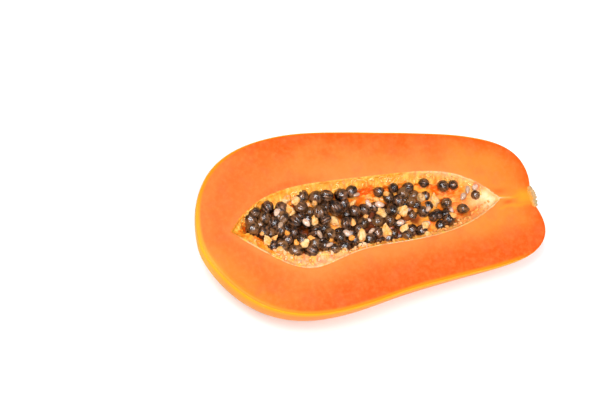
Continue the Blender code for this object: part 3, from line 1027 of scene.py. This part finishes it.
def restingHeight(u, v, radius, place, radii):
    # how low a ball of this radius can lie here on the heap, the core and the lining
    away = np.hypot(place[:, 0] - u, place[:, 1] - v)
    near = away < (radii + radius) * 0.9
    onSeeds = place[near, 2] + np.sqrt(((radii[near] + radius) * 0.9) ** 2 - away[near] ** 2)
    onCore = coreTop(u) + radius * 0.8
    heights = np.linspace(-20, -1, 120)
    column = np.stack((0 * heights + u, 0 * heights + v, heights), -1)
    thick = liningThickness(column)
    free = cavityGap(column, thick + radius * 0.7) < 0
    onLining = heights[free][0] if free.any() else -radius
    return max([onCore, onLining, *onSeeds])


def lumpShape(ball, size, shake):
    # a soft cone standing on a wide foot, a little crumpled
    uneven = 1 + 0.42 * softNoise(ball * 3, 2.0, shake.randint(30, 900))
    uneven += 0.14 * softNoise(ball * 3, 0.9, shake.randint(30, 900))
    taper = 1 - 0.5 * ball[:, 2]
    stretch = (0.4 * shake.uniform(0.8, 1.1), 0.4 * shake.uniform(0.7, 1), 0.58)
    points = ball * uneven[:, None] * size * np.array(stretch)
    points[:, :2] *= taper[:, None]
    lean = Matrix.Rotation(shake.uniform(0.3, 1.2), 3, "X")
    spun = Matrix.Rotation(shake.uniform(0, 6.28), 3, "Z") @ lean
    return points @ np.array(spun).T


def dropShape(ball, length, shake):
    # a flat-sided drop lying on its side
    width = length * shake.uniform(0.46, 0.68)
    taper = 1 - shake.uniform(0.1, 0.3) * ball[:, 2]
    points = ball * np.array((width / 2, width / 2.6, length / 2))
    points[:, :2] *= taper[:, None]
    side = Matrix.Rotation(math.pi / 2 + shake.uniform(-0.4, 0.4), 3, "X")
    spun = Matrix.Rotation(shake.uniform(0, 6.28), 3, "Z") @ side
    return points @ np.array(spun).T


fibres = {
    "fine": {"count": 80, "radius": (0.12, 0.26), "length": (2, 5), "rings": (1, 9), "drop": 1.4},
    "folds": {"count": 90, "radius": (0.35, 0.8), "length": (3, 7), "rings": (1, 6), "drop": 0.7},
    "farShare": 0.75,
    "farTurns": (0.3, 2.6),
    "nearTurns": (3.6, 4.8),
    "sides": 8,
    "steps": 9,
}


def strandShape(path, radius):
    # a thin closed tube along the path, pointed at both ends
    tangent = np.gradient(path, axis=0)
    tangent /= np.linalg.norm(tangent, axis=1, keepdims=True)
    side = np.cross(tangent, (0.1, 0.2, 1.0))
    side /= np.linalg.norm(side, axis=1, keepdims=True)
    rise = np.cross(side, tangent)
    turn = np.arange(fibres["sides"]) * 2 * math.pi / fibres["sides"]
    thick = radius * np.sin(np.linspace(0.25, math.pi - 0.25, len(path)))[:, None, None]
    cosine, sine = np.cos(turn)[None, :, None], np.sin(turn)[None, :, None]
    outward = cosine * side[:, None] + sine * rise[:, None]
    points = (path[:, None] + thick * outward).reshape(-1, 3)
    here = np.arange(len(points)).reshape(len(path), -1)
    first, last = len(points), len(points) + 1
    ends = [endFaces(first, here[0]), endFaces(last, here[-1])[:, [0, 2, 1]]]
    faces = np.concatenate(sideFaces(here) + ends)[:, ::-1]
    return np.concatenate((points, path[:1], path[-1:])), faces


def makeFibres(wall):
    # strands of pulp lying on the lining, most of them on the far side
    shake = random.Random(19)
    shapes = []
    for kind in ("fine", "folds"):
        strand = fibres[kind]
        for count in range(strand["count"]):
            farSide = shake.random() < fibres["farShare"]
            turn = shake.uniform(*fibres["farTurns" if farSide else "nearTurns"])
            run = np.linspace(0, 1, fibres["steps"])
            length = shake.uniform(*strand["length"])
            bend = shake.uniform(-1.5, 1.5) * length * (run + shake.uniform(-1, 1) * run**2)
            column = (turn / (2 * math.pi) * lining["around"] + bend).round().astype(int)
            drop = shake.uniform(0.2, 1) * strand["drop"] * length
            ring = shake.uniform(*strand["rings"]) + drop * run
            path = wall[ring.round().astype(int), column % lining["around"]]
            for easing in range(2):
                path[1:-1] = (path[:-2] + 2 * path[1:-1] + path[2:]) / 4
            points, faces = strandShape(path, shake.uniform(*strand["radius"]))
            shapes.append((points, faces, {}))
    piece = joinedMesh("placentaFibres", shapes)
    piece.data.materials.append(softMaterial("paleFibre", ("#f39a2e", "#fbc468"), 0.3, 3, 0.5))
    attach(piece, "root")
    print("fibres:", len(shapes), "strands,", len(piece.data.polygons), "faces")


# crumbs along the near rim, heaped on the lining's thick ridge, and at the stem end: turns are
# radians round the cavity, rings are counted down from its rim
crumbs = (
    dict(count=50, turns=(3.4, 6.2), rings=(2, 9), size=(1, 2.6), tone=(0.4, 1), cream=0.1),
    dict(count=46, turns=(3.9, 4.8), rings=(3, 10), size=(2, 4.4), tone=(0, 0.6), cream=0.8),
    dict(count=30, turns=(5.3, 6.1), rings=(4, 12), size=(1.8, 4.2), tone=(0.5, 1), cream=0.1),
)


def crumbShapes(ball, faces, wall, shake):
    # torn bits of pulp on the lining
    shapes = []
    for patch in crumbs:
        for count in range(patch["count"]):
            column = shake.uniform(*patch["turns"]) / (2 * math.pi) * lining["around"]
            spot = wall[int(shake.uniform(*patch["rings"])), int(column)]
            size = shake.uniform(*patch["size"]) * shake.uniform(0.5, 1)
            uneven = 1 + 0.6 * softNoise(ball * 3, 2.2, shake.randint(30, 900))
            uneven += 0.3 * softNoise(ball * 3, 1.1, shake.randint(30, 900))
            shape = ball * uneven[:, None] * (size / 2, size / 3, size / 5)
            shape = shape @ turnedBy(shake).T + spot
            shape[:, 1] += 0.25 * size
            shape[:, 2] = np.minimum(shape[:, 2], -0.1)
            tone = shake.uniform(*patch["tone"])
            cream = patch["cream"] * shake.random()
            shapes.append((shape, faces, {"tone": tone, "cream": cream}))
    return shapes


def makePulp(place, radius, wall):
    shake = random.Random(8)
    ball, faces = ballGrid(24, 16)
    lumps, pale = [], []
    for u, v, size in pulpLumps:
        w = restingHeight(u, v, size * 0.3, place, radius)
        w = min(w, -0.3 - size * 0.35)
        tones = {"tone": shake.uniform(0.5, 1) if size < 5 else shake.uniform(0, 0.25), "cream": 0}
        lumps.append((lumpShape(ball, size, shake) + np.array((u, v, w)), faces, tones))
    for u, v, length in unripeSeeds:
        w = restingHeight(u, v, length * 0.26, place, radius)
        w = min(w, 0.6 - length * 0.25)
        tones = {"tan": 0.8 * shake.random() ** 2}
        pale.append((dropShape(ball, length, shake) + np.array((u, v, w)), faces, tones))
    lumps += crumbShapes(*ballGrid(20, 12), wall, shake)
    lumpPiece = joinedMesh("placentaLumps", lumps, ("tone", "cream"))
    yellow = softMaterial("yellowPulp", ("#f3a548", "#fad097"), 0.6, 2.5, 0.1)
    lumpPiece.data.materials.append(yellow)
    palePiece = joinedMesh("unripeSeeds", pale, ("tan",))
    pinkish = softMaterial("unripeSeedSkin", ("#cc9c7c", "#eed0ba"), 0.3, 2, 0.5)
    palePiece.data.materials.append(pinkish)
    for piece in (lumpPiece, palePiece):
        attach(piece, "root")
    print("pulp lumps:", len(lumps), "unripe seeds:", len(pale))


view = {
    "azimuth": -20.86,
    "elevation": 71.09,
    "roll": 8.0,
    "distance": 0.8,
    "lens": 81.59,
    "target": (-0.03324, 0.01652, 0.035),
}


def makeCamera():
    turn, tip = math.radians(view["azimuth"]), math.radians(view["elevation"])
    back = Vector(
        (math.sin(turn) * math.cos(tip), -math.cos(turn) * math.cos(tip), math.sin(tip))
    )
    right = Vector((math.cos(turn), math.sin(turn), 0))
    axes = Matrix((right, back.cross(right), back)).transposed()
    camera = bpy.data.objects.new("camera", bpy.data.cameras.new("camera"))
    camera.data.lens = view["lens"]
    camera.data.sensor_width = 36
    camera.data.clip_start = 0.01
    rolled = axes @ Matrix.Rotation(math.radians(view["roll"]), 3, "Z")
    camera.matrix_world = Matrix.Translation(
        Vector(view["target"]) + back * view["distance"]
    ) @ rolled.to_4x4()
    bpy.context.scene.collection.objects.link(camera)
    bpy.context.scene.camera = camera


def makeStage():
    mesh = bpy.data.meshes.new("floor")
    side = 3.0
    corners = [(-side, -side, 0), (side, -side, 0), (side, side, 0), (-side, side, 0)]
    mesh.from_pydata([(x, y, cadLow[2] - 0.0002) for x, y, z in corners], [], [(0, 1, 2, 3)])
    floor = bpy.data.objects.new("floor", mesh)
    material, tree = newMaterial("whitePaper")
    paper = {"Base Color": linear("#f7f6f5"), "Roughness": 0.9}
    paper.update({"Emission Color": linear("#ffffff"), "Emission Strength": 0.08})
    finishMaterial(tree, paper, {})
    mesh.materials.append(material)
    bpy.context.scene.collection.objects.link(floor)


lights = {
    "sky": 0.24,
    "key": {"place": (-0.24, -0.04, 1.2), "size": 0.34, "power": 11.2},
    "second": {"place": (0.0, -0.34, 1.2), "size": 0.34, "power": 6.8},
    "fill": {"place": (0.2, -0.75, 1.0), "size": 1.0, "power": 4.6},
    "colour": "#f6f9ff",
}


def addLight(name, place, size, power):
    lamp = bpy.data.lights.new(name, "AREA")
    lamp.size = size
    lamp.energy = power
    lamp.color = linear(lights["colour"])[:3]
    made = bpy.data.objects.new(name, lamp)
    made.location = place
    made.rotation_euler = (-Vector(place)).to_track_quat("-Z", "Y").to_euler()
    bpy.context.scene.collection.objects.link(made)


def makeLight():
    world = bpy.data.worlds.new("studio")
    bpy.context.scene.world = world
    world.use_nodes = True
    background = world.node_tree.nodes["Background"]
    background.inputs["Color"].default_value = (1, 1, 1, 1)
    background.inputs["Strength"].default_value = lights["sky"]
    for name in ("key", "second", "fill"):
        addLight(name, **lights[name])
    bpy.context.scene.view_settings.view_transform = "Standard"


def placeFruit():
    # where the fruit's frame lies in the world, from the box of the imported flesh
    probe = castRays(fan(240, shares(60), fruit["stretch"]), skinGap).reshape(-1, 3)
    turned = probe @ np.array(layingDown).T * mm
    low, high = map(np.array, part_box("flesh"))
    middle = (low + high - turned.min(0) - turned.max(0)) / 2
    return np.array((middle[0], middle[1], high[2] - turned[:, 2].max()))


placing = np.zeros(3)
placing = placeFruit()
print("fruit placed at", placing)
makeCamera()
makeStage()
makeLight()
makeFlesh()
liningWall = makeLining()
makeScar()
makeCore()
heapPlaces, heapRadii = makeSeeds()
makePulp(heapPlaces, heapRadii, liningWall)
makeFibres(liningWall)
